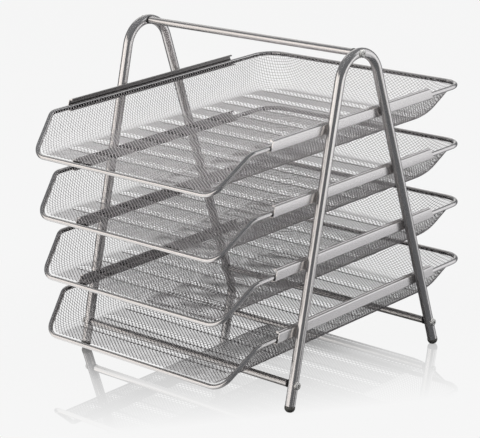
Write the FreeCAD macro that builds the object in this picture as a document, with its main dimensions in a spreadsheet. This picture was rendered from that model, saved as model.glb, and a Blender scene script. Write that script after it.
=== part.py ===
import FreeCAD, Part
import Sketcher
import math
import os

# A stack of four sliding document trays on a folded tube frame.
# Millimetres. X runs across the trays, Y to the back, Z up.
# The origin is on the floor, in the middle of the trays' outline seen from above.

os.makedirs("parts", exist_ok=True)
doc = FreeCAD.newDocument("tray_stack")

# Driving dimensions
sizes = {
    "frame_width": "273",
    "frame_height": "316",
    "foot_spread": "218.5",
    "frame_bend": "28",
    "frame_setback": "2.6",
    "tube_diameter": "9.5",
    "tube_wall": "1",
    "weld_bite": "0.4",
    "weld_gap": "0.1",
    "rod_diameter": "7",
    "rod_wall": "0.8",
    "lower_rod_height": "25",
    "collar_diameter": "7.6",
    "collar_thickness": "1.8",
    "plug_length": "14",
    "fit_gap": "0.05",
    "screw_diameter": "3.5",
    "screw_gap": "0.3",
    "screw_reach": "8",
    "head_diameter": "7.4",
    "head_height": "2.6",
    "head_rounding": "1.6",
    "head_seat": "0.6",
    "recess_length": "3.6",
    "recess_width": "0.9",
    "recess_depth": "1.3",
    "foot_diameter": "10",
    "foot_height": "6",
    "foot_rounding": "4.4",
    "stem_length": "14",
    "rail_length": "235",
    "rail_sheet": "0.8",
    "rail_bend": "0.6",
    "rail_slant": "4",
    "rail_play": "0.5",
    "rail_rest": "0.35",
    "rail_headroom": "3.75",
    "rail_top_width": "4.5",
    "rail_hem": "2.2",
    "rail_lower_width": "6.2",
    "lowest_level": "71.5",
    "tier_pitch": "60",
    "wire_diameter": "4.5",
    "rim_depth": "348",
    "front_drop": "32",
    "slope_run": "37",
    "slope_bend": "11",
    "front_corner": "17",
    "rear_corner": "20.5",
    "wall_lean": "23",
    "mesh_thickness": "0.9",
    "mesh_gap": "0.02",
    "mesh_lip": "1.6",
    "floor_fold": "19",
    "floor_corner": "28",
    "groove_width": "11",
    "groove_depth": "2.2",
    "groove_margin": "0.6",
    "first_groove": "34",
    "last_groove": "11.6",
    "strip_width": "3.5",
    "cut_overrun": "10",
}
tier_count = 4
groove_count = 10
openings_across = 12
fold_steps = 4

sheet = doc.addObject("Spreadsheet::Sheet", "Sizes")
for row, alias in enumerate(sizes, start=1):
    sheet.set("A%d" % row, alias)
    sheet.set("B%d" % row, sizes[alias])
    sheet.setAlias("B%d" % row, alias)
doc.recompute()

# Derived sizes, written as expressions on the sheet
half_frame = "(Sizes.frame_width / 2)"
tube_radius = "(Sizes.tube_diameter / 2)"
wire_radius = "(Sizes.wire_diameter / 2)"
half_spread = "(Sizes.foot_spread / 2)"
arc_height = "(Sizes.frame_height - Sizes.frame_bend)"
lean = "(atan(%s / %s) - asin(Sizes.frame_bend / sqrt(%s ^ 2 + %s ^ 2)))" % (
    half_spread, arc_height, half_spread, arc_height)
lower_rod_reach = "(%s - Sizes.lower_rod_height * tan(%s))" % (half_spread, lean)
web_face = "(%s - %s + Sizes.weld_bite)" % (half_frame, tube_radius)
rod_end = "(%s - Sizes.collar_thickness)" % web_face
rim_half = "(%s - Sizes.rail_sheet - Sizes.rail_play - %s)" % (web_face, wire_radius)
rail_top = "(%s + Sizes.rail_headroom + Sizes.rail_sheet)" % wire_radius
rail_bottom = "(-%s - Sizes.rail_rest - Sizes.rail_sheet)" % wire_radius
plug_bore = "(Sizes.screw_diameter + 2 * Sizes.fit_gap)"
seated_tube = "(Sizes.tube_diameter - Sizes.head_seat - Sizes.weld_bite)"
screw_length = "(%s + Sizes.collar_thickness + Sizes.screw_reach)" % seated_tube

# Where the three rods cross the side frames: name, distance from the frame's middle, height
rod_places = [
    ("handle", "0", "Sizes.frame_height"),
    ("front", "(-%s)" % lower_rod_reach, "Sizes.lower_rod_height"),
    ("rear", lower_rod_reach, "Sizes.lower_rod_height"),
]
sides = [("left", -1), ("right", 1)]
ends = [("front", -1), ("rear", 1)]
nodes = []


def number(expression):
    value = sheet.evalExpression(expression)
    return float(getattr(value, "Value", value))


def tier_level(tier):
    return "(Sizes.lowest_level + %d * Sizes.tier_pitch)" % (tier - 1)


def signed(sign, expression):
    if sign < 0:
        return "(-%s)" % expression
    return expression


def put(item, across="0", back="0", up="0"):
    for axis, text in (("x", across), ("y", back), ("z", up)):
        item.setExpression("Placement.Base." + axis, text)


def keep(item, label):
    item.Label = label
    nodes.append(item)


# Sketch helpers
def new_body(name):
    return doc.addObject("PartDesign::Body", name)


def origin_plane(body, role):
    return [item for item in body.Origin.OriginFeatures if item.Role == role][0]


def sketch_on(body, name, role):
    sketch = body.newObject("Sketcher::SketchObject", name)
    sketch.AttachmentSupport = (origin_plane(body, role), [""])
    sketch.MapMode = "FlatFace"
    return sketch


def pin(sketch, item, point, across, up):
    for kind, axis, text in (("DistanceX", -2, across), ("DistanceY", -1, up)):
        if text == "0":
            sketch.addConstraint(Sketcher.Constraint("PointOnObject", item, point, axis))
            continue
        index = sketch.addConstraint(Sketcher.Constraint(kind, -1, 1, item, point, number(text)))
        sketch.setExpression("Constraints[%d]" % index, text)


def spot(across, up):
    return FreeCAD.Vector(number(across), number(up), 0)


def outline(sketch, corners):
    first = sketch.GeometryCount
    points = [spot(across, up) for across, up in corners]
    following = points[1:] + points[:1]
    for start, end in zip(points, following):
        sketch.addGeometry(Part.LineSegment(start, end))
    for index in range(len(corners)):
        after = (index + 1) % len(corners)
        sketch.addConstraint(Sketcher.Constraint("Coincident", first + index, 2, first + after, 1))
    for index, (across, up) in enumerate(corners):
        pin(sketch, first + index, 1, across, up)


def rectangle(sketch, left, low, right, high):
    outline(sketch, [(left, low), (right, low), (right, high), (left, high)])


def circle(sketch, across, up, diameter):
    shape = Part.Circle(spot(across, up), FreeCAD.Vector(0, 0, 1), number(diameter) / 2)
    item = sketch.addGeometry(shape)
    pin(sketch, item, 3, across, up)
    index = sketch.addConstraint(Sketcher.Constraint("Diameter", item, number(diameter)))
    sketch.setExpression("Constraints[%d]" % index, diameter)


def pocket(body, sketch, depth, backwards):
    cut = body.newObject("PartDesign::Pocket", sketch.Name + "_cut")
    cut.Profile = sketch
    cut.Reversed = backwards
    cut.setExpression("Length", depth)
    return cut


def through_pocket(body, sketch):
    cut = body.newObject("PartDesign::Pocket", sketch.Name + "_cut")
    cut.Profile = sketch
    cut.SideType = "Symmetric"
    cut.Type = "ThroughAll"
    return cut


def turned(body, sketch):
    solid = body.newObject("PartDesign::Revolution", sketch.Name + "_turned")
    solid.Profile = sketch
    solid.ReferenceAxis = (sketch, ["V_Axis"])
    return solid


def rounded(body, feature, edges, radius):
    fillet = body.newObject("PartDesign::Fillet", feature.Name + "_rounded")
    fillet.Base = (feature, edges)
    fillet.setExpression("Radius", radius)
    return fillet


def top_rim(shape):
    names = []
    highest = max(edge.BoundBox.ZMin for edge in shape.Edges)
    for index, edge in enumerate(shape.Edges, start=1):
        if edge.Closed and math.isclose(edge.BoundBox.ZMin, highest):
            names.append("Edge%d" % index)
    return names


# Side frames
def side_frame(side, sign):
    name = side + "_side_frame"
    body = new_body(name)
    path = sketch_on(body, name + "_path", "YZ_Plane")
    bend = Part.Circle(spot("0", arc_height), FreeCAD.Vector(0, 0, 1), number("Sizes.frame_bend"))
    path.addGeometry(Part.ArcOfCircle(bend, math.radians(number(lean)), math.pi / 2))
    shoulder = (
        "(Sizes.frame_bend * cos(%s))" % lean,
        "(%s + Sizes.frame_bend * sin(%s))" % (arc_height, lean),
    )
    tube_end = (
        "(%s - Sizes.foot_height * sin(%s))" % (half_spread, lean),
        "(Sizes.foot_height * cos(%s))" % lean,
    )
    path.addGeometry(Part.LineSegment(spot(*shoulder), spot(*tube_end)))
    path.addConstraint(Sketcher.Constraint("Coincident", 0, 1, 1, 1))
    path.addConstraint(Sketcher.Constraint("PointOnObject", 0, 2, -2))
    pin(path, 0, 3, "0", arc_height)
    pin(path, 1, 1, *shoulder)
    pin(path, 1, 2, *tube_end)

    section = sketch_on(body, name + "_section", "XZ_Plane")
    circle(section, "0", "Sizes.frame_height", "Sizes.tube_diameter")
    circle(section, "0", "Sizes.frame_height", "(Sizes.tube_diameter - 2 * Sizes.tube_wall)")
    doc.recompute()
    leg = body.newObject("PartDesign::AdditivePipe", name + "_leg")
    leg.Profile = section
    leg.Spine = (path, ["Edge1", "Edge2"])
    doc.recompute()
    both = body.newObject("PartDesign::Mirrored", name + "_both")
    both.Originals = [leg]
    both.MirrorPlane = (origin_plane(body, "XZ_Plane"), [""])
    body.Tip = both
    doc.recompute()

    holes = sketch_on(body, name + "_holes", "YZ_Plane")
    outer = sketch_on(body, name + "_head_seats", "YZ_Plane")
    inner = sketch_on(body, name + "_collar_seats", "YZ_Plane")
    for rod, back, up in rod_places:
        circle(holes, back, up, "(Sizes.screw_diameter + Sizes.screw_gap)")
        circle(outer, back, up, "(Sizes.head_diameter + Sizes.screw_gap)")
        circle(inner, back, up, "(Sizes.collar_diameter + Sizes.screw_gap)")
    through_pocket(body, holes)
    outer.setExpression("AttachmentOffset.Base.z", signed(sign, tube_radius))
    pocket(body, outer, "Sizes.head_seat", sign < 0)
    inner.setExpression("AttachmentOffset.Base.z", signed(-sign, tube_radius))
    pocket(body, inner, "Sizes.weld_bite", sign > 0)

    flats = sketch_on(body, name + "_weld_flats", "YZ_Plane")
    flats.setExpression("AttachmentOffset.Base.z", signed(-sign, tube_radius))
    for tier in range(1, tier_count + 1):
        level = tier_level(tier)
        low = "(%s + %s - Sizes.weld_gap)" % (level, rail_bottom)
        high = "(%s + %s + Sizes.weld_gap)" % (level, rail_top)
        rectangle(flats, signed(-1, half_spread), low, half_spread, high)
    pocket(body, flats, "Sizes.weld_bite", sign > 0)
    put(body, signed(sign, half_frame), "Sizes.frame_setback")
    keep(body, name)


# Rods, their end plugs and the screws
def rod(name, back, up):
    body = new_body(name)
    section = sketch_on(body, name + "_section", "YZ_Plane")
    circle(section, "0", "0", "Sizes.rod_diameter")
    circle(section, "0", "0", "(Sizes.rod_diameter - 2 * Sizes.rod_wall)")
    pad = body.newObject("PartDesign::Pad", name + "_pad")
    pad.Profile = section
    pad.SideType = "Symmetric"
    pad.setExpression("Length", "2 * " + rod_end)
    put(body, "0", "Sizes.frame_setback + " + back, up)
    keep(body, name)


def aim_outwards(body, sign):
    quarter_turn = 90
    body.Placement.Rotation = FreeCAD.Rotation(FreeCAD.Vector(0, 1, 0), sign * quarter_turn)


def end_plug(name, sign, back, up):
    body = new_body(name)
    section = sketch_on(body, name + "_section", "XZ_Plane")
    bore = "(%s / 2)" % plug_bore
    stem = "(Sizes.rod_diameter / 2 - Sizes.rod_wall - Sizes.fit_gap)"
    collar = "(Sizes.collar_diameter / 2)"
    outline(section, [
        (bore, "(-Sizes.plug_length)"),
        (stem, "(-Sizes.plug_length)"),
        (stem, "0"),
        (collar, "0"),
        (collar, "Sizes.collar_thickness"),
        (bore, "Sizes.collar_thickness"),
    ])
    turned(body, section)
    aim_outwards(body, sign)
    put(body, signed(sign, rod_end), "Sizes.frame_setback + " + back, up)
    keep(body, name)


def screw(name, sign, back, up):
    body = new_body(name)
    section = sketch_on(body, name + "_section", "XZ_Plane")
    shank = "(Sizes.screw_diameter / 2)"
    head = "(Sizes.head_diameter / 2)"
    outline(section, [
        ("0", "(-%s)" % screw_length),
        (shank, "(-%s)" % screw_length),
        (shank, "0"),
        (head, "0"),
        (head, "Sizes.head_height"),
        ("0", "Sizes.head_height"),
    ])
    solid = turned(body, section)
    doc.recompute()
    rounded(body, solid, top_rim(solid.Shape), "Sizes.head_rounding")
    doc.recompute()
    cross = sketch_on(body, name + "_recess", "XY_Plane")
    cross.setExpression("AttachmentOffset.Base.z", "Sizes.head_height")
    far = "(Sizes.recess_length / 2)"
    near = "(Sizes.recess_width / 2)"
    quarter = [(far, near), (near, near), (near, far)]
    corners = list(quarter)
    corners += [(signed(-1, x), y) for x, y in reversed(quarter)]
    corners += [(signed(-1, x), signed(-1, y)) for x, y in quarter]
    corners += [(x, signed(-1, y)) for x, y in reversed(quarter)]
    outline(cross, corners)
    pocket(body, cross, "Sizes.recess_depth", False)
    aim_outwards(body, sign)
    seat = "(%s + %s - Sizes.head_seat)" % (half_frame, tube_radius)
    put(body, signed(sign, seat), "Sizes.frame_setback + " + back, up)
    keep(body, name)


# Feet
def floor_block():
    block = doc.addObject("Part::Box", "floor_block")
    block.setExpression("Length", "Sizes.frame_width + 2 * Sizes.cut_overrun")
    block.setExpression("Width", "Sizes.foot_spread + 2 * Sizes.cut_overrun")
    block.setExpression("Height", "Sizes.cut_overrun")
    put(block, "-%s - Sizes.cut_overrun" % half_frame,
        "Sizes.frame_setback - %s - Sizes.cut_overrun" % half_spread, "-Sizes.cut_overrun")
    return block


def foot(name, sign, end, block):
    body = new_body(name + "_plug")
    section = sketch_on(body, name + "_section", "XZ_Plane")
    head = "(Sizes.foot_diameter / 2)"
    stem = "(%s - Sizes.tube_wall - Sizes.fit_gap)" % tube_radius
    top = "(Sizes.foot_height + Sizes.stem_length)"
    outline(section, [
        ("0", "0"),
        (head, "0"),
        (head, "Sizes.foot_height"),
        (stem, "Sizes.foot_height"),
        (stem, top),
        ("0", top),
    ])
    solid = turned(body, section)
    doc.recompute()
    lowest = [
        "Edge%d" % index for index, edge in enumerate(solid.Shape.Edges, start=1)
        if edge.Closed and math.isclose(edge.BoundBox.ZMax, 0, abs_tol=number("Sizes.fit_gap"))
    ]
    rounded(body, solid, lowest, "Sizes.foot_rounding")
    body.Placement.Rotation = FreeCAD.Rotation(FreeCAD.Vector(1, 0, 0), end * number(lean))
    put(body, signed(sign, half_frame), "Sizes.frame_setback + " + signed(end, half_spread))
    doc.recompute()
    trimmed = doc.addObject("Part::Cut", name)
    trimmed.Base = body
    trimmed.Tool = block
    keep(trimmed, name)


# Rails
def long_edges(shape, places):
    names = []
    for index, edge in enumerate(shape.Edges, start=1):
        start, end = edge.Vertexes[0].Point, edge.Vertexes[-1].Point
        for across, up in places:
            on_line = [
                math.isclose(point.x, across, abs_tol=number("Sizes.fit_gap"))
                and math.isclose(point.z, up, abs_tol=number("Sizes.fit_gap"))
                for point in (start, end)
            ]
            if all(on_line):
                names.append("Edge%d" % index)
    return names


def rail(side, sign, tier):
    name = "%s_rail_%d" % (side, tier)
    body = new_body(name)
    section = sketch_on(body, name + "_section", "XZ_Plane")
    outer = signed(sign, web_face)
    inner = signed(sign, "(%s - Sizes.rail_sheet)" % web_face)
    top_lip = signed(sign, "(%s - Sizes.rail_top_width)" % web_face)
    hem_side = signed(sign, "(%s - Sizes.rail_top_width + Sizes.rail_hem)" % web_face)
    hem_top = "(%s + Sizes.rail_sheet)" % rail_top
    lower_lip = signed(sign, "(%s - Sizes.rail_lower_width)" % web_face)
    under_top = "(%s - Sizes.rail_sheet)" % rail_top
    over_bottom = "(%s + Sizes.rail_sheet)" % rail_bottom
    outline(section, [
        (outer, rail_bottom),
        (outer, rail_top),
        (hem_side, rail_top),
        (hem_side, hem_top),
        (top_lip, hem_top),
        (top_lip, under_top),
        (inner, under_top),
        (inner, over_bottom),
        (lower_lip, over_bottom),
        (lower_lip, rail_bottom),
    ])
    pad = body.newObject("PartDesign::Pad", name + "_pad")
    pad.Profile = section
    pad.SideType = "Symmetric"
    pad.setExpression("Length", "Sizes.rail_length")
    doc.recompute()
    outside = [(number(outer), number(rail_top)), (number(outer), number(rail_bottom))]
    bent = rounded(body, pad, long_edges(pad.Shape, outside), "Sizes.rail_bend + Sizes.rail_sheet")
    doc.recompute()
    inside = [(inner, under_top), (inner, over_bottom)]
    hem = [(hem_side, hem_top), (top_lip, hem_top), (top_lip, under_top)]
    small = [(number(across), number(up)) for across, up in inside + hem]
    rounded(body, bent, long_edges(bent.Shape, small), "Sizes.rail_bend")
    doc.recompute()
    slant = sketch_on(body, name + "_slant", "YZ_Plane")
    height = "(%s - %s)" % (rail_top, rail_bottom)
    above = "(%s + Sizes.cut_overrun)" % rail_top
    mouth = "(Sizes.rail_length / 2)"
    shorter = "(%s - Sizes.rail_slant * (%s + Sizes.cut_overrun) / %s)" % (mouth, height, height)
    beyond = "(%s + Sizes.cut_overrun)" % mouth
    for end_name, end in ends:
        outline(slant, [
            (signed(end, mouth), rail_bottom),
            (signed(end, shorter), above),
            (signed(end, beyond), above),
            (signed(end, beyond), rail_bottom),
        ])
    through_pocket(body, slant)
    put(body, "0", "Sizes.frame_setback", tier_level(tier))
    keep(body, name)


# Tray rims
def rounded_path(points, radii):
    edges = []
    start = points[0]
    for before, corner, after, radius in zip(points, points[1:], points[2:], radii):
        back = (before - corner).normalize()
        ahead = (after - corner).normalize()
        half_angle = back.getAngle(ahead) / 2
        setback = radius / math.tan(half_angle)
        middle = (back + ahead).normalize()
        centre = corner + middle * (radius / math.sin(half_angle))
        arc_start = corner + back * setback
        arc_end = corner + ahead * setback
        edges.append(Part.makeLine(start, arc_start))
        edges.append(Part.Arc(arc_start, centre - middle * radius, arc_end).toShape())
        start = arc_end
    edges.append(Part.makeLine(start, points[-1]))
    return Part.Wire(edges)


def tray_values():
    values = {alias: number("Sizes." + alias) for alias in sizes}
    values["rim_half"] = number(rim_half)
    values["wire_radius"] = number(wire_radius)
    values["slope"] = math.tan(math.radians(values["wall_lean"]))
    values["front_half"] = values["rim_half"] - values["front_drop"] * values["slope"]
    values["front"] = -values["rim_depth"] / 2
    values["back"] = values["rim_depth"] / 2
    values["knee"] = values["front"] + values["slope_run"]
    return values


def rim_path(tray):
    points = [
        FreeCAD.Vector(0, tray["front"], -tray["front_drop"]),
        FreeCAD.Vector(tray["front_half"], tray["front"], -tray["front_drop"]),
        FreeCAD.Vector(tray["rim_half"], tray["knee"], 0),
        FreeCAD.Vector(tray["rim_half"], tray["back"], 0),
        FreeCAD.Vector(0, tray["back"], 0),
    ]
    return rounded_path(points, [tray["front_corner"], tray["slope_bend"], tray["rear_corner"]])


def tray_rim(tier, path):
    name = "tray_%d_rim" % tier
    spine = doc.addObject("Part::Feature", name + "_path")
    spine.Shape = path
    section = doc.addObject("Part::Circle", name + "_section")
    section.setExpression("Radius", wire_radius)
    quarter_turn = 90
    section.Placement.Rotation = FreeCAD.Rotation(FreeCAD.Vector(0, 1, 0), quarter_turn)
    put(section, "0", "-Sizes.rim_depth / 2", "-Sizes.front_drop")
    half = doc.addObject("Part::Sweep", name + "_half")
    half.Sections = [section]
    half.Spine = (spine, ["Edge%d" % index for index in range(1, len(path.Edges) + 1)])
    half.Solid = True
    other = doc.addObject("Part::Mirroring", name + "_other_half")
    other.Source = half
    other.Normal = FreeCAD.Vector(1, 0, 0)
    loop = doc.addObject("Part::MultiFuse", name)
    loop.Shapes = [half, other]
    loop.Refine = True
    put(loop, "0", "0", tier_level(tier))
    keep(loop, name)


# Tray meshes: one pressed sheet each, as a thin shell with a plain grid of openings
def mesh_section(tray, inset, level, corner):
    half = tray["rim_half"] - inset
    back = tray["back"] - inset
    front = tray["front"] - tray["front_drop"] - tray["cut_overrun"]
    turn = corner * (1 - math.cos(math.pi / 4))
    right_arc = Part.Arc(
        FreeCAD.Vector(half, back - corner, level),
        FreeCAD.Vector(half - turn, back - turn, level),
        FreeCAD.Vector(half - corner, back, level))
    left_arc = Part.Arc(
        FreeCAD.Vector(-half + corner, back, level),
        FreeCAD.Vector(-half + turn, back - turn, level),
        FreeCAD.Vector(-half, back - corner, level))
    edges = [
        Part.makeLine(FreeCAD.Vector(-half, front, level), FreeCAD.Vector(half, front, level)),
        Part.makeLine(FreeCAD.Vector(half, front, level), right_arc.StartPoint),
        right_arc.toShape(),
        Part.makeLine(right_arc.EndPoint, left_arc.StartPoint),
        left_arc.toShape(),
        Part.makeLine(left_arc.EndPoint, FreeCAD.Vector(-half, front, level)),
    ]
    return Part.Wire(edges)


def mesh_layout(tray):
    layout = {}
    lean_angle = math.radians(tray["wall_lean"])
    away = tray["wire_radius"] + tray["mesh_gap"]
    layout["wall_inset"] = away / math.cos(lean_angle)
    layout["floor"] = -tray["front_drop"] + away
    sharp = layout["wall_inset"] - layout["floor"] * tray["slope"]
    layout["fold_angle"] = math.pi / 2 - lean_angle
    layout["flat_inset"] = sharp + tray["floor_fold"] * math.tan(layout["fold_angle"] / 2)
    return layout


def pan(tray, layout, thickness, top):
    fold = tray["floor_fold"] - thickness
    rings = []
    for step in range(fold_steps + 1):
        angle = layout["fold_angle"] * step / fold_steps
        inset = layout["flat_inset"] - fold * math.sin(angle)
        level = layout["floor"] + tray["floor_fold"] - fold * math.cos(angle)
        rings.append((inset, level))
    wall_inset = layout["wall_inset"] + thickness / math.cos(math.radians(tray["wall_lean"]))
    rings.append((wall_inset, 0))
    rings.append((wall_inset - top * tray["slope"], top))
    growth = tray["floor_corner"] - tray["rear_corner"] + layout["flat_inset"]
    sections = []
    for inset, level in rings:
        depth_share = max(0, level / layout["floor"])
        corner = tray["rear_corner"] - inset + growth * depth_share
        sections.append(mesh_section(tray, inset, level, corner))
    fold_end = fold_steps + 1
    lower = Part.makeLoft(sections[:fold_end], True, False)
    upper = Part.makeLoft(sections[fold_steps:], True, True)
    return lower.fuse(upper)


def groove_places(tray, layout):
    first = tray["front"] + tray["first_groove"]
    last = tray["back"] - layout["flat_inset"] - tray["last_groove"]
    pitch = (last - first) / (groove_count - 1)
    return [first + index * pitch for index in range(groove_count)]


def groove_forms(tray, layout, thickness):
    half_width = tray["groove_width"] / 2
    radius = (half_width ** 2 + tray["groove_depth"] ** 2) / (2 * tray["groove_depth"])
    reach = tray["rim_half"] - layout["flat_inset"] - half_width - tray["groove_margin"]
    level = layout["floor"] - tray["groove_depth"] + radius
    tool = radius - thickness
    forms = []
    for back in groove_places(tray, layout):
        left = FreeCAD.Vector(-reach, back, level)
        right = FreeCAD.Vector(reach, back, level)
        bar = Part.makeCylinder(tool, 2 * reach, left, FreeCAD.Vector(1, 0, 0))
        caps = [Part.makeSphere(tool, left), Part.makeSphere(tool, right)]
        forms.append(bar.multiFuse(caps).removeSplitter())
    return forms


def column_places(tray, layout):
    flat_half = tray["rim_half"] - layout["flat_inset"]
    pitch = 2 * flat_half / openings_across
    return [-flat_half + (index + 0.5) * pitch for index in range(openings_across)]


def floor_openings(tray, layout):
    columns = column_places(tray, layout)
    width = columns[1] - columns[0] - tray["strip_width"]
    groove_edge = tray["groove_width"] / 2 + tray["groove_margin"]
    grooves = groove_places(tray, layout)
    starts = [tray["front"] + 2 * tray["wire_diameter"]]
    starts += [back + groove_edge for back in grooves[:-1]]
    low = layout["floor"] - tray["cut_overrun"]
    forms = []
    for start, groove in zip(starts, grooves):
        length = groove - groove_edge - start
        for column in columns:
            corner = FreeCAD.Vector(column - width / 2, start, low)
            forms.append(Part.makeBox(width, length, 2 * tray["cut_overrun"], corner))
    return forms


def wall_opening(tray, layout, width, across, back, turn):
    low = layout["floor"] + tray["strip_width"]
    high = -tray["wire_radius"] - tray["strip_width"] / 2
    reach = tray["rim_half"]
    form = Part.makeBox(reach, width, high - low, FreeCAD.Vector(0, -width / 2, low))
    form.rotate(FreeCAD.Vector(), FreeCAD.Vector(0, 0, 1), turn)
    form.translate(FreeCAD.Vector(across, back, 0))
    return form


def wall_openings(tray, layout):
    to_right, to_corner, to_back = 0, 45, 90
    flat_half = tray["rim_half"] - layout["flat_inset"]
    corner_across = flat_half - tray["floor_corner"]
    corner_back = tray["back"] - layout["flat_inset"] - tray["floor_corner"]
    grooves = groove_places(tray, layout)
    columns = column_places(tray, layout)
    side_width = grooves[1] - grooves[0] - tray["strip_width"]
    back_width = columns[1] - columns[0] - tray["strip_width"]
    forms = []
    for before, after in zip(grooves, grooves[1:]):
        middle = (before + after) / 2
        forms.append(wall_opening(tray, layout, side_width, flat_half, middle, to_right))
    for column in columns[openings_across // 2:-1]:
        forms.append(wall_opening(tray, layout, back_width, column, corner_back, to_back))
    corner_width = tray["floor_corner"] - tray["strip_width"]
    forms.append(wall_opening(tray, layout, corner_width, corner_across, corner_back, to_corner))
    return forms + [form.mirror(FreeCAD.Vector(), FreeCAD.Vector(1, 0, 0)) for form in forms]


def front_cutter(tray):
    slope_angle = math.atan2(tray["front_drop"], tray["slope_run"])
    upward = FreeCAD.Vector(0, -math.sin(slope_angle), math.cos(slope_angle))
    width = 2 * (tray["rim_half"] + tray["cut_overrun"])
    length = 2 * tray["rim_depth"]
    block = Part.makeBox(width, length, tray["rim_depth"])
    block.translate(FreeCAD.Vector(-width / 2, -length / 2, 0))
    block.rotate(FreeCAD.Vector(), FreeCAD.Vector(1, 0, 0), math.degrees(slope_angle))
    on_slope = FreeCAD.Vector(0, tray["knee"], 0) + upward * tray["wire_radius"]
    block.translate(on_slope)
    return block


def mesh_sheet(tray):
    layout = mesh_layout(tray)
    outer = pan(tray, layout, 0, tray["mesh_lip"])
    inner = pan(tray, layout, tray["mesh_thickness"], tray["mesh_lip"] + tray["cut_overrun"])
    outer = outer.multiFuse(groove_forms(tray, layout, 0))
    inner = inner.multiFuse(groove_forms(tray, layout, tray["mesh_thickness"]))
    shell = outer.cut(inner).cut(front_cutter(tray)).removeSplitter()
    return shell.cut(floor_openings(tray, layout) + wall_openings(tray, layout))


def tray_mesh(tier, sheet_shape):
    name = "tray_%d_mesh" % tier
    piece = doc.addObject("Part::Feature", name)
    piece.Shape = sheet_shape
    put(piece, "0", "0", tier_level(tier))
    keep(piece, name)


# Assembly
for side, sign in sides:
    side_frame(side, sign)
    for rod_name, back, up in rod_places:
        end_plug("%s_%s_rod_plug" % (side, rod_name), sign, back, up)
        screw("%s_%s_rod_screw" % (side, rod_name), sign, back, up)
    for tier in range(1, tier_count + 1):
        rail(side, sign, tier)

rod("handle_rod", rod_places[0][1], rod_places[0][2])
for rod_name, back, up in rod_places[1:]:
    rod(rod_name + "_cross_rod", back, up)

block = floor_block()
for side, sign in sides:
    for end_name, end in ends:
        foot("%s_%s_foot" % (side, end_name), sign, end, block)

tray = tray_values()
path = rim_path(tray)
pressed = mesh_sheet(tray)
for tier in range(1, tier_count + 1):
    tray_rim(tier, path)
    tray_mesh(tier, pressed)
doc.recompute()

# Checks before writing
for item in doc.Objects:
    bad = [word for word in item.State if word in ("Invalid", "Error")]
    if bad:
        raise RuntimeError("%s is %s" % (item.Label, bad))

for item in nodes:
    shape = item.Shape
    if shape.isNull() or not shape.isValid() or len(shape.Solids) != 1:
        raise RuntimeError("%s: %d solids" % (item.Label, len(shape.Solids)))
    shape.exportStep("parts/%s.step" % item.Label)
    print("%-26s %10.1f mm3" % (item.Label, shape.Volume))
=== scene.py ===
import bpy
import math
import numpy as np
from mathutils import Matrix, Vector


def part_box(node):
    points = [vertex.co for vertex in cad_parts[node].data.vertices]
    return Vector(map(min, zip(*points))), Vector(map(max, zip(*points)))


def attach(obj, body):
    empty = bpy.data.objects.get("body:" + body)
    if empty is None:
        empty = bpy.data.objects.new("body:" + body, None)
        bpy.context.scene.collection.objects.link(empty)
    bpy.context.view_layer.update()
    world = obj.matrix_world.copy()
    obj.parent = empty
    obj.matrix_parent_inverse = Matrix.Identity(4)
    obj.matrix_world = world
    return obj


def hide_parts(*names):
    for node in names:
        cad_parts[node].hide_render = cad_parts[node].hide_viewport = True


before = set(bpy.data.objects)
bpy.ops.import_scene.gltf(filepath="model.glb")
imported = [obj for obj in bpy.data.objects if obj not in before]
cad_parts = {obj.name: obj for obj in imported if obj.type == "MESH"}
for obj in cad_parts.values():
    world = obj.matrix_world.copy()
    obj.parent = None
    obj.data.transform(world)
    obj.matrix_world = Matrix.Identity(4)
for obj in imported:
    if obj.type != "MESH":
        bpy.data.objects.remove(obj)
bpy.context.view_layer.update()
mm = 0.001
tiny = 1e-9
print("frame loaded:", len(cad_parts), "nodes")


# Node trees
class Link:
    # a socket in a sum: each operator adds one Math node
    def __init__(self, bench, socket):
        self.bench = bench
        self.socket = socket

    def sum(self, operation, first, second):
        return self.bench.node("ShaderNodeMath", {"operation": operation}, {0: first, 1: second})

    def __add__(self, other):
        return self.sum("ADD", self, other)

    def __radd__(self, other):
        return self.sum("ADD", other, self)

    def __sub__(self, other):
        return self.sum("SUBTRACT", self, other)

    def __rsub__(self, other):
        return self.sum("SUBTRACT", other, self)

    def __mul__(self, other):
        return self.sum("MULTIPLY", self, other)

    def __rmul__(self, other):
        return self.sum("MULTIPLY", other, self)


class Bench:
    # one method makes every node: its type, then its settings, then its sockets
    def __init__(self, tree):
        self.tree = tree

    def node(self, kind, settings=None, sockets=None, out=0):
        made = self.tree.nodes.new(kind)
        for name, value in (settings or {}).items():
            setattr(made, name, value)
        for key, value in (sockets or {}).items():
            if isinstance(value, Link):
                self.tree.links.new(value.socket, made.inputs[key])
            else:
                made.inputs[key].default_value = value
        return Link(self, made.outputs[out]) if made.outputs else None

    def fade(self, value, nearEdge, farEdge):
        return self.node("ShaderNodeMapRange", {}, {
            "Value": value, "From Min": nearEdge, "From Max": farEdge, "To Min": 1.0, "To Max": 0.0})

    def blendColours(self, factor, first, second):
        return self.node("ShaderNodeMix", {"data_type": "RGBA"}, {0: factor, 6: first, 7: second}, out=2)

    def noise(self, place, scale, detail):
        return self.node("ShaderNodeTexNoise", {}, {"Vector": place, "Scale": scale, "Detail": detail})


def newMaterial(name):
    material = bpy.data.materials.new(name)
    material.use_nodes = True
    material.node_tree.nodes.clear()
    return material, Bench(material.node_tree)


def finishMaterial(bench, shader):
    bench.node("ShaderNodeOutputMaterial", {}, {"Surface": shader})


def rgba(grey, tint=(1.0, 1.0, 1.0)):
    return (grey * tint[0], grey * tint[1], grey * tint[2], 1.0)


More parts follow.
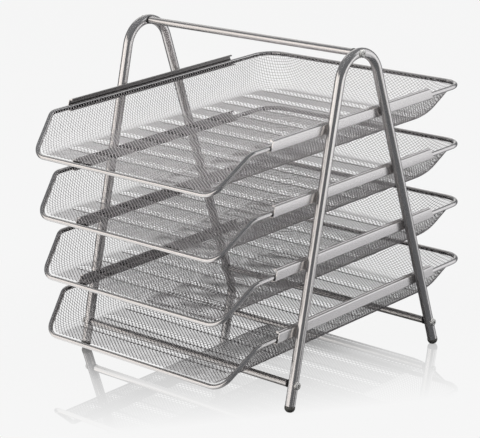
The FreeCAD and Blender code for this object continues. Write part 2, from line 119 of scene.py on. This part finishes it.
# Materials
grainHeight = 0.1 * mm
# the darkest grey here is painted shade: it darkens the faces within the rail channels and the wire faces
# under the mesh edge
silverPaint = {
    "light": 0.8, "dark": 0.74, "tint": (1.0, 0.975, 0.96), "inside": 0.03,
    "metal": 0.9, "rough": 0.22, "roughSpread": 0.05, "bump": 0.02,
    "flakeScale": 2600.0, "flakeDetail": 2.0, "flakeShare": 0.65, "cloudScale": 55.0, "cloudDetail": 4.0,
}

# the mesh's paint is duller and darker
strandPaint = dict(silverPaint, light=0.48, dark=0.41, tint=(1.0, 0.95, 0.955), metal=0.0, rough=0.36)


def makeSilver(name, settings):
    material, bench = newMaterial(name)
    place = bench.node("ShaderNodeTexCoord", out=3)
    flake = bench.noise(place, settings["flakeScale"], settings["flakeDetail"])
    cloud = bench.noise(place, settings["cloudScale"], settings["cloudDetail"])
    mix = settings["flakeShare"] * flake + (1 - settings["flakeShare"]) * cloud
    colour = bench.blendColours(
        mix, rgba(settings["dark"], settings["tint"]), rgba(settings["light"], settings["tint"]))
    # painted shade: faces carrying the shade attribute are blended towards the darkest grey
    inside = bench.node("ShaderNodeAttribute", {"attribute_name": "paintedShade"}, {}, out=2)
    colour = bench.blendColours(inside, colour, rgba(settings["inside"], settings["tint"]))
    rough = settings["rough"] + settings["roughSpread"] * (cloud - 0.5)
    bump = bench.node("ShaderNodeBump", {}, {
        "Strength": settings["bump"], "Distance": grainHeight, "Height": flake})
    shader = bench.node("ShaderNodeBsdfPrincipled", {}, {
        "Base Color": colour, "Metallic": settings["metal"], "Roughness": rough, "Normal": bump})
    finishMaterial(bench, shader)
    return material


zincScrew = {
    "light": 0.95, "dark": 0.8, "tint": (1.0, 0.99, 0.95),
    "metal": 0.3, "rough": 0.22, "roughSpread": 0.12, "bump": 0.15,
    "scratchScale": 900.0, "scratchDetail": 6.0,
}


def makeZinc(name, settings):
    material, bench = newMaterial(name)
    place = bench.node("ShaderNodeTexCoord", out=3)
    scratch = bench.noise(place, settings["scratchScale"], settings["scratchDetail"])
    colour = bench.blendColours(
        scratch, rgba(settings["dark"], settings["tint"]), rgba(settings["light"], settings["tint"]))
    rough = settings["rough"] + settings["roughSpread"] * scratch
    bump = bench.node("ShaderNodeBump", {}, {
        "Strength": settings["bump"], "Distance": grainHeight, "Height": scratch})
    shader = bench.node("ShaderNodeBsdfPrincipled", {}, {
        "Base Color": colour, "Metallic": settings["metal"], "Roughness": rough, "Normal": bump})
    finishMaterial(bench, shader)
    return material


blackPlastic = {
    "colour": 0.012, "worn": 0.03, "tint": (1.0, 1.0, 1.0), "rough": 0.5, "roughSpread": 0.15,
    "grainScale": 1500.0, "grainDetail": 2.0, "wearScale": 180.0, "wearDetail": 4.0, "bump": 0.2,
}
footPlastic = dict(
    blackPlastic, colour=0.18, worn=0.26, tint=(1.0, 0.97, 0.88), rough=0.42, grainScale=1100.0)


def makePlastic(name, settings):
    material, bench = newMaterial(name)
    place = bench.node("ShaderNodeTexCoord", out=3)
    grain = bench.noise(place, settings["grainScale"], settings["grainDetail"])
    wear = bench.noise(place, settings["wearScale"], settings["wearDetail"])
    colour = bench.blendColours(
        wear, rgba(settings["colour"], settings["tint"]), rgba(settings["worn"], settings["tint"]))
    rough = settings["rough"] + settings["roughSpread"] * wear
    bump = bench.node("ShaderNodeBump", {}, {
        "Strength": settings["bump"], "Distance": grainHeight, "Height": grain})
    shader = bench.node("ShaderNodeBsdfPrincipled", {}, {
        "Base Color": colour, "Roughness": rough, "Normal": bump})
    finishMaterial(bench, shader)
    return material


tubeSilver = makeSilver("tubeSilver", silverPaint)
wireSilver = makeSilver("wireSilver", silverPaint)
strandSilver = makeSilver("strandSilver", strandPaint)
screwZinc = makeZinc("screwZinc", zincScrew)
plugBlack = makePlastic("plugBlack", blackPlastic)
footDark = makePlastic("footDark", footPlastic)
print("materials made")


# Geometry node trees
def newGeometryTree(name, inputs):
    tree = bpy.data.node_groups.new(name, "GeometryNodeTree")
    tree.interface.new_socket("Geometry", in_out="INPUT", socket_type="NodeSocketGeometry")
    for label, kind in inputs:
        tree.interface.new_socket(label, in_out="INPUT", socket_type=kind)
    tree.interface.new_socket("Geometry", in_out="OUTPUT", socket_type="NodeSocketGeometry")
    bench = Bench(tree)
    entry = tree.nodes.new("NodeGroupInput")
    sources = {socket.name: Link(bench, socket) for socket in entry.outputs if socket.name}
    return tree, bench, sources


def finishTree(bench, geometry, material):
    smooth = bench.node("GeometryNodeSetShadeSmooth", {}, {"Geometry": geometry})
    real = bench.node("GeometryNodeRealizeInstances", {}, {"Geometry": smooth})
    painted = bench.node("GeometryNodeSetMaterial", {}, {"Geometry": real, "Material": material})
    bench.node("NodeGroupOutput", {}, {0: painted})


def pipeTree():
    tree, bench, given = newGeometryTree("pipeAlongPath", [
        ("Radius", "NodeSocketFloat"), ("Sides", "NodeSocketInt"), ("Material", "NodeSocketMaterial")])
    ring = bench.node("GeometryNodeCurvePrimitiveCircle", {}, {
        "Resolution": given["Sides"], "Radius": given["Radius"]})
    skin = bench.node("GeometryNodeCurveToMesh", {}, {
        "Curve": given["Geometry"], "Profile Curve": ring, "Fill Caps": True})
    finishTree(bench, skin, given["Material"])
    return tree


def strandTree():
    tree, bench, given = newGeometryTree("strandsOnSheet", [
        ("Width", "NodeSocketFloat"), ("Thickness", "NodeSocketFloat"), ("Material", "NodeSocketMaterial")])
    lines = bench.node("GeometryNodeMeshToCurve", {}, {"Mesh": given["Geometry"]})
    facing = bench.node("GeometryNodeInputNamedAttribute", {"data_type": "FLOAT_VECTOR"}, {
        "Name": "sheetNormal"})
    turned = bench.node("GeometryNodeSetCurveNormal", {"mode": "FREE"}, {"Curve": lines, "Normal": facing})
    bar = bench.node("GeometryNodeCurvePrimitiveQuadrilateral", {}, {
        "Width": given["Thickness"], "Height": given["Width"]})
    skin = bench.node("GeometryNodeCurveToMesh", {}, {"Curve": turned, "Profile Curve": bar})
    finishTree(bench, skin, given["Material"])
    return tree


def runTree(carrier, tree, values):
    modifier = carrier.modifiers.new("shape", "NODES")
    modifier.node_group = tree
    for item in tree.interface.items_tree:
        if item.in_out == "INPUT" and item.name in values:
            modifier[item.identifier] = values[item.name]
    bpy.context.view_layer.update()
    graph = bpy.context.evaluated_depsgraph_get()
    mesh = bpy.data.meshes.new_from_object(
        carrier.evaluated_get(graph), preserve_all_data_layers=True, depsgraph=graph)
    carrier.modifiers.clear()
    bpy.data.objects.remove(carrier)
    return mesh


def addPiece(name, mesh, body, nodes):
    piece = bpy.data.objects.new(name, mesh)
    bpy.context.collection.objects.link(piece)
    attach(piece, body)
    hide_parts(*nodes)
    return piece


pipes = pipeTree()
strands = strandTree()


def pipe(name, points, closed, radius, sides, material):
    curve = bpy.data.curves.new(name + "Path", "CURVE")
    curve.dimensions = "3D"
    spline = curve.splines.new("POLY")
    spline.points.add(len(points) - 1)
    for target, point in zip(spline.points, points):
        target.co = (*point, 1.0)
    spline.use_cyclic_u = closed
    carrier = bpy.data.objects.new(name + "Path", curve)
    bpy.context.collection.objects.link(carrier)
    return runTree(carrier, pipes, {"Radius": radius, "Sides": sides, "Material": material})


def roundedRun(points, radii, stepAngle):
    # straight runs joined by arcs, as points
    run = []
    count = len(points)
    for index, corner in enumerate(points):
        radius = radii[index]
        if radius == 0:
            run.append(Vector(corner))
            continue
        before = (Vector(points[index - 1]) - Vector(corner)).normalized()
        after = (Vector(points[(index + 1) % count]) - Vector(corner)).normalized()
        half = before.angle(after) / 2
        middle = (before + after).normalized()
        centre = Vector(corner) + middle * (radius / math.sin(half))
        start = Vector(corner) + before * (radius / math.tan(half)) - centre
        axis = before.cross(after).normalized()
        turn = math.pi - 2 * half
        steps = max(2, round(turn / stepAngle))
        for step in range(steps + 1):
            run.append(centre + Matrix.Rotation(-turn * step / steps, 3, axis) @ start)
    return run


# Side frames
sideFrame = {
    "footSpread": 218.5 * mm, "bend": 28 * mm, "footHeight": 6 * mm,
    "sides": 40, "stepAngle": math.radians(4),
}


def makeSideFrame(side):
    node = side + "_side_frame"
    low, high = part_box(node)
    radius = (high[0] - low[0]) / 2
    across = (high[0] + low[0]) / 2
    middle = (high[1] + low[1]) / 2
    top = high[2] - radius
    spread = sideFrame["footSpread"] / 2
    arcHeight = top - sideFrame["bend"]
    lean = math.atan2(spread, arcHeight) - math.asin(sideFrame["bend"] / math.hypot(spread, arcHeight))
    endOut = spread - sideFrame["footHeight"] * math.sin(lean)
    endUp = sideFrame["footHeight"] * math.cos(lean)
    points = [(across, middle - endOut, endUp)]
    steps = round((math.pi - 2 * lean) / sideFrame["stepAngle"])
    for step in range(steps + 1):
        angle = math.pi - lean - (math.pi - 2 * lean) * step / steps
        points.append((across, middle + sideFrame["bend"] * math.cos(angle),
                       arcHeight + sideFrame["bend"] * math.sin(angle)))
    points.append((across, middle + endOut, endUp))
    mesh = pipe(side + "Leg", points, False, radius, sideFrame["sides"], tubeSilver)
    return addPiece(side + "SideFrame", mesh, "frame", [node])


for side in ("left", "right"):
    makeSideFrame(side)
print("side frames made")


# Cross rods
crossRod = {"sides": 32}
for node in ("handle_rod", "front_cross_rod", "rear_cross_rod"):
    low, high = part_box(node)
    back = (low[1] + high[1]) / 2
    up = (low[2] + high[2]) / 2
    mesh = pipe(node, [(low[0], back, up), (high[0], back, up)], False, (high[2] - low[2]) / 2,
                crossRod["sides"], tubeSilver)
    addPiece(node.replace("_", "-"), mesh, "frame", [node])
print("rods made")


# Rails
rail = {
    "sheet": 0.8 * mm, "bend": 0.6 * mm, "slant": 4 * mm, "topWidth": 4.5 * mm, "hem": 2.2 * mm,
    "lowerWidth": 6.2 * mm, "stepAngle": math.radians(15), "sharpFrom": math.radians(40),
    # how much, and from what inward facing, the channel's faces get painted shade
    "shadeShare": 0.75, "shadeFacing": 0.5,
}


def railSection(low, high):
    # round the channel, as distances inwards from the web's outer face and heights
    sheet, bend = rail["sheet"], rail["bend"]
    hemSide = rail["topWidth"] - rail["hem"]
    top = high - sheet
    corners = [
        ((0, low), bend + sheet),
        ((0, top), bend + sheet),
        ((hemSide, top), 0),
        ((hemSide, high), bend),
        ((rail["topWidth"], high), bend),
        ((rail["topWidth"], top - sheet), bend),
        ((sheet, top - sheet), bend),
        ((sheet, low + sheet), bend),
        ((rail["lowerWidth"], low + sheet), 0),
        ((rail["lowerWidth"], low), 0),
    ]
    points = [(inwards, 0, up) for (inwards, up), radius in corners]
    return roundedRun(points, [radius for place, radius in corners], rail["stepAngle"])


def makeRail(side, tier):
    node = "%s_rail_%d" % (side, tier)
    low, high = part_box(node)
    inward = 1 if side == "left" else -1
    web = low[0] if side == "left" else high[0]
    section = railSection(low[2], high[2])
    count = len(section)
    lean = rail["slant"] / (high[2] - rail["sheet"] - low[2])
    points = []
    for end, sign in ((low[1], 1), (high[1], -1)):
        for place in section:
            points.append((web + inward * place.x, end + sign * lean * (place.z - low[2]), place.z))
    faces = [tuple(range(count)), tuple(reversed(range(count, 2 * count)))]
    for index in range(count):
        after = (index + 1) % count
        faces.append((after, index, count + index, count + after))
    if side == "left":
        faces = [tuple(reversed(face)) for face in faces]
    mesh = bpy.data.meshes.new(node)
    mesh.from_pydata(points, [], faces)
    mesh.materials.append(tubeSilver)
    mesh.shade_smooth()
    mesh.set_sharp_from_angle(angle=rail["sharpFrom"])
    # painted shade: the faces within the channel are darkened towards the darkest grey, standing in for the
    # channel's shade
    shadeMask = mesh.attributes.new("paintedShade", "FLOAT", "FACE")
    for face in mesh.polygons:
        facesIn = inward * face.normal.x > rail["shadeFacing"] and len(face.vertices) == 4
        shadeMask.data[face.index].value = rail["shadeShare"] if facesIn else 0.0
    return addPiece("%sRail%d" % (side, tier), mesh, "frame", [node])


for side in ("left", "right"):
    for tier in range(1, 5):
        makeRail(side, tier)
print("rails made")


# Tray rims
rim = {
    "wire": 4.5 * mm, "slopeRun": 37 * mm, "slopeBend": 11 * mm, "frontCorner": 17 * mm,
    "rearCorner": 20.5 * mm, "wallLean": math.radians(23), "sides": 24, "stepAngle": math.radians(6),
    # which wire faces get painted shade: how far below inward they face, and from what facing
    "shadeTilt": 0.7, "shadeFrom": 0.74,
}


def trayPlan(tier):
    low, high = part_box("tray_%d_rim" % tier)
    radius = rim["wire"] / 2
    plan = {"radius": radius, "half": high[0] - radius, "front": low[1] + radius, "back": high[1] - radius}
    plan["level"] = high[2] - radius
    plan["drop"] = plan["level"] - low[2] - radius
    plan["frontHalf"] = plan["half"] - plan["drop"] * math.tan(rim["wallLean"])
    plan["knee"] = plan["front"] + rim["slopeRun"]
    return plan


def makeRim(tier):
    plan = trayPlan(tier)
    level, low = plan["level"], plan["level"] - plan["drop"]
    corners = [
        (plan["frontHalf"], plan["front"], low),
        (plan["half"], plan["knee"], level),
        (plan["half"], plan["back"], level),
        (-plan["half"], plan["back"], level),
        (-plan["half"], plan["knee"], level),
        (-plan["frontHalf"], plan["front"], low),
    ]
    bends = [rim["frontCorner"], rim["slopeBend"], rim["rearCorner"]]
    points = roundedRun(corners, bends + bends[::-1], rim["stepAngle"])
    mesh = pipe("tray%dRim" % tier, points, True, plan["radius"], rim["sides"], wireSilver)
    # painted shade: the wire's faces turned in and down, under the mesh edge, are darkened, standing in for
    # the shade between mesh and wire
    shadeMask = mesh.attributes.new("paintedShade", "FLOAT", "FACE")
    for face in mesh.polygons:
        across = plan["half"] - abs(face.center.x) < plan["back"] - face.center.y
        inwards = Vector((-face.center.x, 0, 0)) if across else Vector((0, -1, 0))
        facing = face.normal.dot(inwards.normalized() - Vector((0, 0, rim["shadeTilt"])))
        shadeMask.data[face.index].value = float(facing > rim["shadeFrom"] and face.center.y > plan["knee"])
    return addPiece("tray%dRim" % tier, mesh, "tray_%d" % tier, ["tray_%d_rim" % tier])


for tier in range(1, 5):
    makeRim(tier)
print("rims made")


# Tray meshes: one blank of diamond mesh, pressed into a pan
pressedMesh = {
    "cellAcross": 4.88 * mm, "cellBack": 3.39 * mm, "strandThickness": 0.3 * mm,
    "strandWidths": {"Floor": 0.76 * mm, "Walls": 0.42 * mm}, "strandTilt": math.radians(35),
    "sheet": 0.9 * mm, "gap": 0.02 * mm, "lip": 0.5 * mm, "fold": 19 * mm, "floorCorner": 28 * mm,
    "grooveCount": 10, "grooveWidth": 11 * mm, "grooveDepth": 2.2 * mm, "grooveMargin": 0.6 * mm,
    "firstGroove": 34 * mm, "lastGroove": 11.6 * mm, "spareRows": 4, "nudge": 0.05 * mm,
}


def panLayout(plan):
    lean = rim["wallLean"]
    away = plan["radius"] + pressedMesh["gap"]
    pan = {"foldAngle": math.pi / 2 - lean}
    pan["floor"] = -plan["drop"] + away
    sharp = away / math.cos(lean) - pan["floor"] * math.tan(lean)
    pan["flatInset"] = sharp + pressedMesh["fold"] * math.tan(pan["foldAngle"] / 2)
    pan["flatHalf"] = plan["half"] - pan["flatInset"]
    pan["flatBack"] = plan["back"] - pan["flatInset"]
    pan["fold"] = pressedMesh["fold"] - pressedMesh["sheet"] / 2
    pan["skin"] = pan["floor"] + pressedMesh["sheet"] / 2
    foldUp = pan["skin"] + pan["fold"] * (1 - math.cos(pan["foldAngle"]))
    pan["foldLength"] = pan["fold"] * pan["foldAngle"]
    pan["reach"] = pan["foldLength"] + (pressedMesh["lip"] - foldUp) / math.cos(lean)
    return pan


def climb(pan, distance):
    # how far out and up the wall lies at a distance along the sheet past the flat floor
    lean = rim["wallLean"]
    bent = np.clip(distance, 0, pan["foldLength"]) / pan["fold"]
    straight = np.maximum(distance - pan["foldLength"], 0)
    out = pan["fold"] * np.sin(bent) + straight * math.sin(lean)
    up = pan["fold"] * (1 - np.cos(bent)) + straight * math.cos(lean)
    return out, up


def pressBlank(plan, pan, across, back):
    # the blank's flat points to points of the pressed pan, and how far past the flat floor they lie
    corner = pressedMesh["floorCorner"]
    side = np.sign(across)
    span = np.abs(across)
    overSide = span - (pan["flatHalf"] - corner)
    overBack = back - (pan["flatBack"] - corner)
    inCorner = (overSide > 0) & (overBack > 0)
    radial = np.hypot(np.maximum(overSide, 0), np.maximum(overBack, 0)) - corner
    past = np.where(inCorner, radial, np.maximum(span - pan["flatHalf"], back - pan["flatBack"]))
    out, up = climb(pan, past)
    wide = pan["flatHalf"] + out
    deep = pan["flatBack"] + out
    share = np.maximum(0, (pan["floor"] + up) / pan["floor"])
    growth = corner - rim["rearCorner"] + pan["flatInset"]
    turn = rim["rearCorner"] - (pan["flatInset"] - out) + growth * share
    straight = deep - turn - (pan["flatBack"] - corner)
    total = 2 * straight + turn * math.pi / 2
    along = np.arctan2(np.maximum(overBack, 0), np.maximum(overSide, tiny)) / (math.pi / 2) * total
    angle = np.clip((along - straight) / turn, 0, math.pi / 2)
    afterTurn = np.maximum(along - straight - turn * math.pi / 2, 0)
    cornerX = wide - turn + turn * np.cos(angle) - afterTurn
    cornerY = deep - turn + turn * np.sin(angle) - np.maximum(straight - along, 0)
    onWall = past > 0
    x = np.where(onWall & inCorner, cornerX, np.where(onWall & (overSide > corner), wide, span))
    y = np.where(onWall & inCorner, cornerY, np.where(onWall & (overBack > corner), deep, back))
    z = pan["skin"] + up + grooveDip(plan, pan, across, back)
    return np.stack([x * side, y, z], axis=-1), past


def grooveDip(plan, pan, across, back):
    half, depth = pressedMesh["grooveWidth"] / 2, pressedMesh["grooveDepth"]
    radius = (half ** 2 + depth ** 2) / (2 * depth)
    reach = pan["flatHalf"] - half - pressedMesh["grooveMargin"]
    first = plan["front"] + pressedMesh["firstGroove"]
    last = pan["flatBack"] - pressedMesh["lastGroove"]
    pitch = (last - first) / (pressedMesh["grooveCount"] - 1)
    nearest = first + pitch * np.clip(np.round((back - first) / pitch), 0, pressedMesh["grooveCount"] - 1)
    away = np.hypot(np.maximum(np.abs(across) - reach, 0), back - nearest)
    return -np.where(away < half, np.sqrt(np.maximum(radius ** 2 - away ** 2, 0)) - (radius - depth), 0)


def blankStrands(plan, pan):
    # strands of the flat blank: from each knot to the four knots around it
    cellX, cellY = pressedMesh["cellAcross"], pressedMesh["cellBack"]
    halfColumns = int((pan["flatHalf"] + pan["reach"]) / cellX) + 2
    firstRow = int(plan["front"] / cellY - pressedMesh["spareRows"]) - 1
    lastRow = int((pan["flatBack"] + pan["reach"]) / cellY) + 2
    columns, rows = np.meshgrid(np.arange(-halfColumns, halfColumns + 1), np.arange(firstRow, lastRow + 1))
    starts, ends = [], []
    knots = np.stack([columns * cellX, rows * cellY], axis=-1).reshape(-1, 2)
    for stepX in (-cellX / 2, cellX / 2):
        for stepY in (-cellY / 2, cellY / 2):
            starts.append(knots)
            ends.append(knots + (stepX, stepY))
    return np.concatenate(starts), np.concatenate(ends)


def sheetNormals(plan, pan, flat):
    # the way each strand faces: off the sheet, tipped over as stretching leaves it
    nudge = pressedMesh["nudge"]
    here, past = pressBlank(plan, pan, flat[:, 0], flat[:, 1])
    sideways, past = pressBlank(plan, pan, flat[:, 0] + nudge, flat[:, 1])
    onward, past = pressBlank(plan, pan, flat[:, 0], flat[:, 1] + nudge)
    normal = np.cross(sideways - here, onward - here)
    normal /= np.linalg.norm(normal, axis=1, keepdims=True)
    along = onward - here
    along /= np.linalg.norm(along, axis=1, keepdims=True)
    return normal * math.cos(pressedMesh["strandTilt"]) + along * math.sin(pressedMesh["strandTilt"])


def cutStrands(plan, pan):
    # presses the strands, cuts them off at the lip and along the sloping front
    startFlat, endFlat = blankStrands(plan, pan)
    slope = math.atan2(plan["drop"], rim["slopeRun"])
    upward = np.array([0, -math.sin(slope), math.cos(slope)])
    onSlope = np.array([0, plan["knee"], 0]) + upward * pressedMesh["lip"]
    spare, points = [], []
    for flat in (startFlat, endFlat):
        pressed, past = pressBlank(plan, pan, flat[:, 0], flat[:, 1])
        spare.append(np.minimum(pan["reach"] - past, -(pressed - onSlope) @ upward))
        points.append(pressed)
    middle = (startFlat + endFlat) / 2
    middlePast = pressBlank(plan, pan, middle[:, 0], middle[:, 1])[1]
    keep = (spare[0] > 0) | (spare[1] > 0)
    change = spare[0] - spare[1]
    share = np.clip(spare[0] / np.where(np.abs(change) < tiny, tiny, change), 0, 1)
    cut = points[0] + (points[1] - points[0]) * share[:, None]
    begin = np.where((spare[0] < 0)[:, None], cut, points[0])
    finish = np.where((spare[1] < 0)[:, None], cut, points[1])
    normal = sheetNormals(plan, pan, middle)
    return begin[keep], finish[keep], normal[keep], middlePast[keep]


def strandMesh(name, width, begin, finish, normal):
    count = len(begin)
    mesh = bpy.data.meshes.new(name)
    points = np.empty((2 * count, 3))
    points[0::2] = begin
    points[1::2] = finish
    edges = np.arange(2 * count).reshape(-1, 2)
    mesh.from_pydata(points.tolist(), edges.tolist(), [])
    facing = mesh.attributes.new("sheetNormal", "FLOAT_VECTOR", "POINT")
    facing.data.foreach_set("vector", np.repeat(normal, 2, axis=0).astype(np.float32).ravel())
    carrier = bpy.data.objects.new(name, mesh)
    bpy.context.collection.objects.link(carrier)
    made = runTree(carrier, strands, {
        "Width": width, "Thickness": pressedMesh["strandThickness"], "Material": strandSilver})
    bpy.data.meshes.remove(mesh)
    return made


def makeTrayMeshes():
    plan = trayPlan(1)
    pan = panLayout(plan)
    begin, finish, normal, past = cutStrands(plan, pan)
    parts = {"Floor": past <= 0, "Walls": past > 0}
    for part, chosen in parts.items():
        width = pressedMesh["strandWidths"][part]
        base = strandMesh("strands" + part, width, begin[chosen], finish[chosen], normal[chosen])
        base.calc_loop_triangles()
        print("mesh", part, "strands", int(chosen.sum()), "triangles", len(base.loop_triangles))
        for tier in range(1, 5):
            mesh = base.copy()
            mesh.transform(Matrix.Translation((0, 0, trayPlan(tier)["level"])))
            body = "tray_%d" % tier
            addPiece("tray%d%s" % (tier, part), mesh, body, [body + "_mesh"])


makeTrayMeshes()
print("tray meshes made")


# Small CAD pieces that keep their solids
for name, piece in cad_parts.items():
    finish = None
    if name.endswith("_screw"):
        finish = screwZinc
    elif name.endswith("_plug"):
        finish = plugBlack
    elif name.endswith("_foot"):
        finish = footDark
    if finish:
        piece.data.materials.clear()
        piece.data.materials.append(finish)
print("small pieces painted")


# Stage
stage = {
    "white": 0.913, "lit": 0.09, "floorGrey": 0.13, "size": 30.0, "aim": (0.0, 0.0, 0.15),
    "roomGrey": 0.12, "roomTint": (0.94, 0.98, 1.06),
    "backdropSide": (-0.695, 0.719, 0.0), "backdropEdge": (0.9, 0.99),
    "mirrorSide": (0.794, -0.607, 0.0), "mirror": 0.5, "mirrorEnds": (0.0, 0.18),
    "mirrorUnder": 0.45, "underEnds": (-0.06, 0.05), "mirrorReach": (0.24, 0.42),
    "sheen": 0.75, "sheenRough": 0.05, "frontMiddle": (-0.15, -0.45, 0.0), "frontEdge": (0.3, 0.45),
}


def makeFloor():
    material, bench = newMaterial("paleFloor")
    place = bench.node("ShaderNodeTexCoord", out=3)
    camera = bench.node("ShaderNodeLightPath", out=0)
    glossy = bench.node("ShaderNodeLightPath", out=3)
    clear = bench.node("ShaderNodeLightPath", out=6)
    towards = bench.node("ShaderNodeVectorMath", {"operation": "DOT_PRODUCT"}, {
        0: place, 1: stage["mirrorSide"]}, out=1)
    ahead = bench.node("ShaderNodeVectorMath", {"operation": "DISTANCE"}, {
        0: place, 1: stage["frontMiddle"]}, out=1)
    # the mirror image is strongest under the trays and fades towards the photo's side
    mirror = stage["mirror"] * bench.fade(towards, *stage["mirrorEnds"])
    mirror = mirror + stage["mirrorUnder"] * bench.fade(towards, *stage["underEnds"])
    reach = bench.node("ShaderNodeVectorMath", {"operation": "LENGTH"}, {0: place}, out=1)
    mirror = mirror * bench.fade(reach, *stage["mirrorReach"])
    # metal sees a white floor in front and a softly shining one elsewhere
    front = bench.fade(ahead, *stage["frontEdge"])
    seen = (1 - stage["lit"]) * (camera + clear) + front * glossy
    sheen = stage["sheen"] * glossy * (1 - front)
    lit = bench.node("ShaderNodeBsdfDiffuse", {}, {"Color": rgba(stage["floorGrey"])})
    glow = bench.node("ShaderNodeEmission", {}, {"Color": rgba(1.0), "Strength": 1.0})
    sharp = bench.node("ShaderNodeBsdfGlossy", {}, {"Color": rgba(1.0), "Roughness": 0.0})
    soft = bench.node("ShaderNodeBsdfGlossy", {}, {
        "Color": rgba(1.0), "Roughness": stage["sheenRough"]})
    base = bench.node("ShaderNodeMixShader", {}, {0: seen, 1: lit, 2: glow})
    sheened = bench.node("ShaderNodeMixShader", {}, {0: sheen, 1: base, 2: soft})
    mixed = bench.node("ShaderNodeMixShader", {}, {0: mirror * camera, 1: sheened, 2: sharp})
    finishMaterial(bench, mixed)
    half = stage["size"] / 2
    mesh = bpy.data.meshes.new("floor")
    corners = [(-half, -half, 0), (half, -half, 0), (half, half, 0), (-half, half, 0)]
    mesh.from_pydata(corners, [], [(0, 1, 2, 3)])
    mesh.materials.append(material)
    floor = bpy.data.objects.new("floor", mesh)
    bpy.context.collection.objects.link(floor)


def makeWorld():
    world = bpy.data.worlds.new("studio")
    world.use_nodes = True
    world.node_tree.nodes.clear()
    bench = Bench(world.node_tree)
    heading = bench.node("ShaderNodeTexCoord", out=0)
    camera = bench.node("ShaderNodeLightPath", out=0)
    glossy = bench.node("ShaderNodeLightPath", out=3)
    sharp = bench.node("ShaderNodeLightPath", out=4)
    clear = bench.node("ShaderNodeLightPath", out=6)
    behind = bench.node("ShaderNodeVectorMath", {"operation": "DOT_PRODUCT"}, {
        0: heading, 1: stage["backdropSide"]}, out=1)
    # white to the camera and the floor's mirror, and to metal behind the stack; a grey room elsewhere
    backdrop = 1 - bench.fade(behind, *stage["backdropEdge"])
    seen = camera + clear + glossy * (sharp + backdrop * (1 - sharp))
    room = bench.node("ShaderNodeBackground", {}, {
        "Color": rgba(stage["roomGrey"], stage["roomTint"]), "Strength": 1.0})
    white = bench.node("ShaderNodeBackground", {}, {"Color": rgba(stage["white"]), "Strength": 1.0})
    mixed = bench.node("ShaderNodeMixShader", {}, {0: seen, 1: room, 2: white})
    bench.node("ShaderNodeOutputWorld", {}, {"Surface": mixed})
    bpy.context.scene.world = world


# wash False: seen in reflections only; sheen False: not seen in reflections
softboxes = [
    {"name": "frontBox", "side": -95.0, "away": 1.7, "up": 0.55, "size": (1.7, 1.2), "glow": 1.05,
     "tint": (1.0, 0.95, 0.91), "wash": False},
    {"name": "backCard", "side": 145.0, "away": 1.4, "up": 1.45, "size": (1.3, 0.6), "glow": 0.6,
     "tint": (1.0, 0.98, 0.96), "wash": False},
    {"name": "leftBox", "side": -135.0, "away": 1.5, "up": 0.55, "size": (0.9, 1.1), "glow": 1.05,
     "tint": (1.0, 0.94, 0.89)},
    {"name": "rightCard", "side": 57.0, "away": 1.6, "up": 0.7, "size": (1.15, 1.5), "glow": 0.72,
     "tint": (0.99, 0.99, 1.01), "wash": False},
    {"name": "lowCard", "side": 34.0, "away": 1.6, "up": 0.15, "size": (1.7, 0.36), "glow": 0.36,
     "tint": (0.99, 0.99, 1.01), "wash": False},
    {"name": "footCard", "side": 16.0, "away": 1.5, "up": 0.08, "size": (1.3, 0.34), "glow": 0.9,
     "tint": (1.0, 0.98, 0.96), "wash": False},
    {"name": "topBox", "side": 0.0, "away": 0.05, "up": 2.0, "size": (1.8, 1.8), "glow": 5.0,
     "tint": (1.0, 1.0, 1.0), "sheen": False},
]


def makeLights():
    aim = Vector(stage["aim"])
    for box in softboxes:
        wide, tall = box["size"]
        turn = math.radians(box["side"])
        place = Vector((box["away"] * math.cos(turn), box["away"] * math.sin(turn), box["up"]))
        lamp = bpy.data.lights.new(box["name"], "AREA")
        lamp.shape = "RECTANGLE"
        lamp.size = wide
        lamp.size_y = tall
        lamp.energy = box["glow"] * math.pi * wide * tall
        lamp.color = box["tint"]
        holder = bpy.data.objects.new(box["name"], lamp)
        holder.location = place
        holder.rotation_euler = (aim - place).to_track_quat("-Z", "Y").to_euler()
        holder.visible_camera = False
        holder.visible_glossy = box.get("sheen", True)
        holder.visible_diffuse = box.get("wash", True)
        bpy.context.collection.objects.link(holder)


photoView = {
    "place": (1.21156, -1.30763, 0.70285), "yaw": 43.19, "pitch": -17.72, "roll": -2.19,
    "lens": 142.98, "sensor": 36.0, "farEnd": 100.0,
}


def makeCamera():
    camera = bpy.data.cameras.new("photoView")
    camera.sensor_width = photoView["sensor"]
    camera.sensor_fit = "HORIZONTAL"
    camera.lens = photoView["lens"]
    camera.clip_end = photoView["farEnd"]
    holder = bpy.data.objects.new("photoView", camera)
    turn = Matrix.Rotation(math.radians(photoView["yaw"]), 4, "Z")
    turn = turn @ Matrix.Rotation(math.radians(90 + photoView["pitch"]), 4, "X")
    turn = turn @ Matrix.Rotation(math.radians(photoView["roll"]), 4, "Z")
    holder.matrix_world = Matrix.Translation(photoView["place"]) @ turn
    bpy.context.collection.objects.link(holder)
    bpy.context.scene.camera = holder


makeFloor()
makeWorld()
makeLights()
makeCamera()
bpy.context.scene.view_settings.view_transform = "Standard"
print("stage set")
